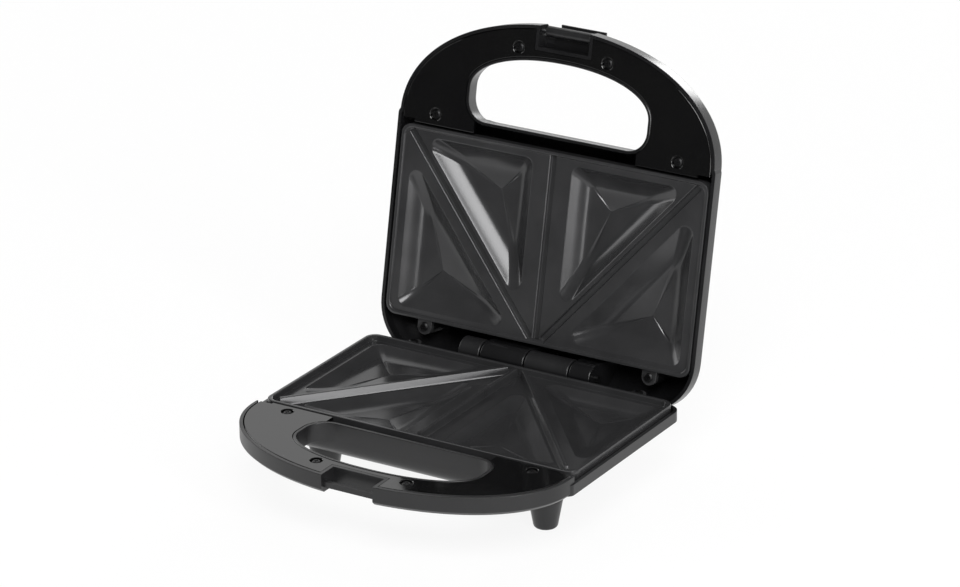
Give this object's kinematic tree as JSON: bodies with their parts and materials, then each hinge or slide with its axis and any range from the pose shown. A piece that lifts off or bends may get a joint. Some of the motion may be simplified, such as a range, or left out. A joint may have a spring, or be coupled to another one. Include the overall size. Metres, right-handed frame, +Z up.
{
  "type": "sandwich toaster",
  "caption": "Two-slice sandwich toaster with its lid open: hinged halves with ribbed pocket plates, D-shaped handles with finger openings, a front latch and tapered feet.",
  "frame": {"origin": "centre of the bounding box's bottom face, on the floor between the feet", "axes": "+X to the right seen from the front, +Y to the rear, +Z up"},
  "size_m": [0.223, 0.2751, 0.2497],
  "materials": {
    "base_moulding": "satin",
    "lid_moulding": "gloss",
    "cover": "gloss",
    "plate_coating": "satin",
    "heater_steel": "satin",
    "spring_steel": "satin",
    "sheet_aluminium": "satin",
    "screw_steel": "satin",
    "dark_screw": "satin",
    "foot_moulding": "satin",
    "pin_steel": "satin",
    "grommet_rubber": "matte",
    "terminal_plastic": "matte",
    "thermostat_body": "matte",
    "fuse_body": "matte",
    "red_lens": "gloss",
    "green_lens": "gloss",
    "latch_moulding": "satin"
  },
  "bodies": {
    "base": {"base_housing": "base_moulding", "base_handle_cover": "cover", "base_plate": "plate_coating", "base_heater": "heater_steel", "base_heater_clips": "spring_steel", "base_reflector": "sheet_aluminium", "base_reflector_screws": "screw_steel", "base_plate_screws": "screw_steel", "base_cover_screws": "dark_screw", "foot_front_left": "foot_moulding", "foot_front_right": "foot_moulding", "foot_rear_left": "foot_moulding", "foot_rear_right": "foot_moulding", "foot_screws": "screw_steel", "hinge_pin": "pin_steel", "cord_grommet": "grommet_rubber", "terminal_block": "terminal_plastic", "thermostat": "thermostat_body", "thermal_fuse": "fuse_body"},
    "lid": {"lid_housing": "lid_moulding", "lid_handle_cover": "cover", "lid_plate": "plate_coating", "lid_heater": "heater_steel", "lid_heater_clips": "spring_steel", "lid_reflector": "sheet_aluminium", "lid_reflector_screws": "screw_steel", "lid_plate_screws": "screw_steel", "lid_cover_screws": "dark_screw", "power_lamp": "red_lens", "ready_lamp": "green_lens", "latch_pin": "pin_steel"},
    "latch": {"latch": "latch_moulding"}
  },
  "joints": [
    {"name": "lid_hinge", "type": "hinge", "parent": "base", "child": "lid", "pos_m": [0, 0.07026, 0.0468], "axis": [1, 0, 0], "range_deg": [0, 101.4]},
    {"name": "latch_pivot", "type": "hinge", "parent": "lid", "child": "latch", "pos_m": [0, 0.11993, 0.24458], "axis": [1, 0, 0], "range_deg": [0, 172]}
  ]
}
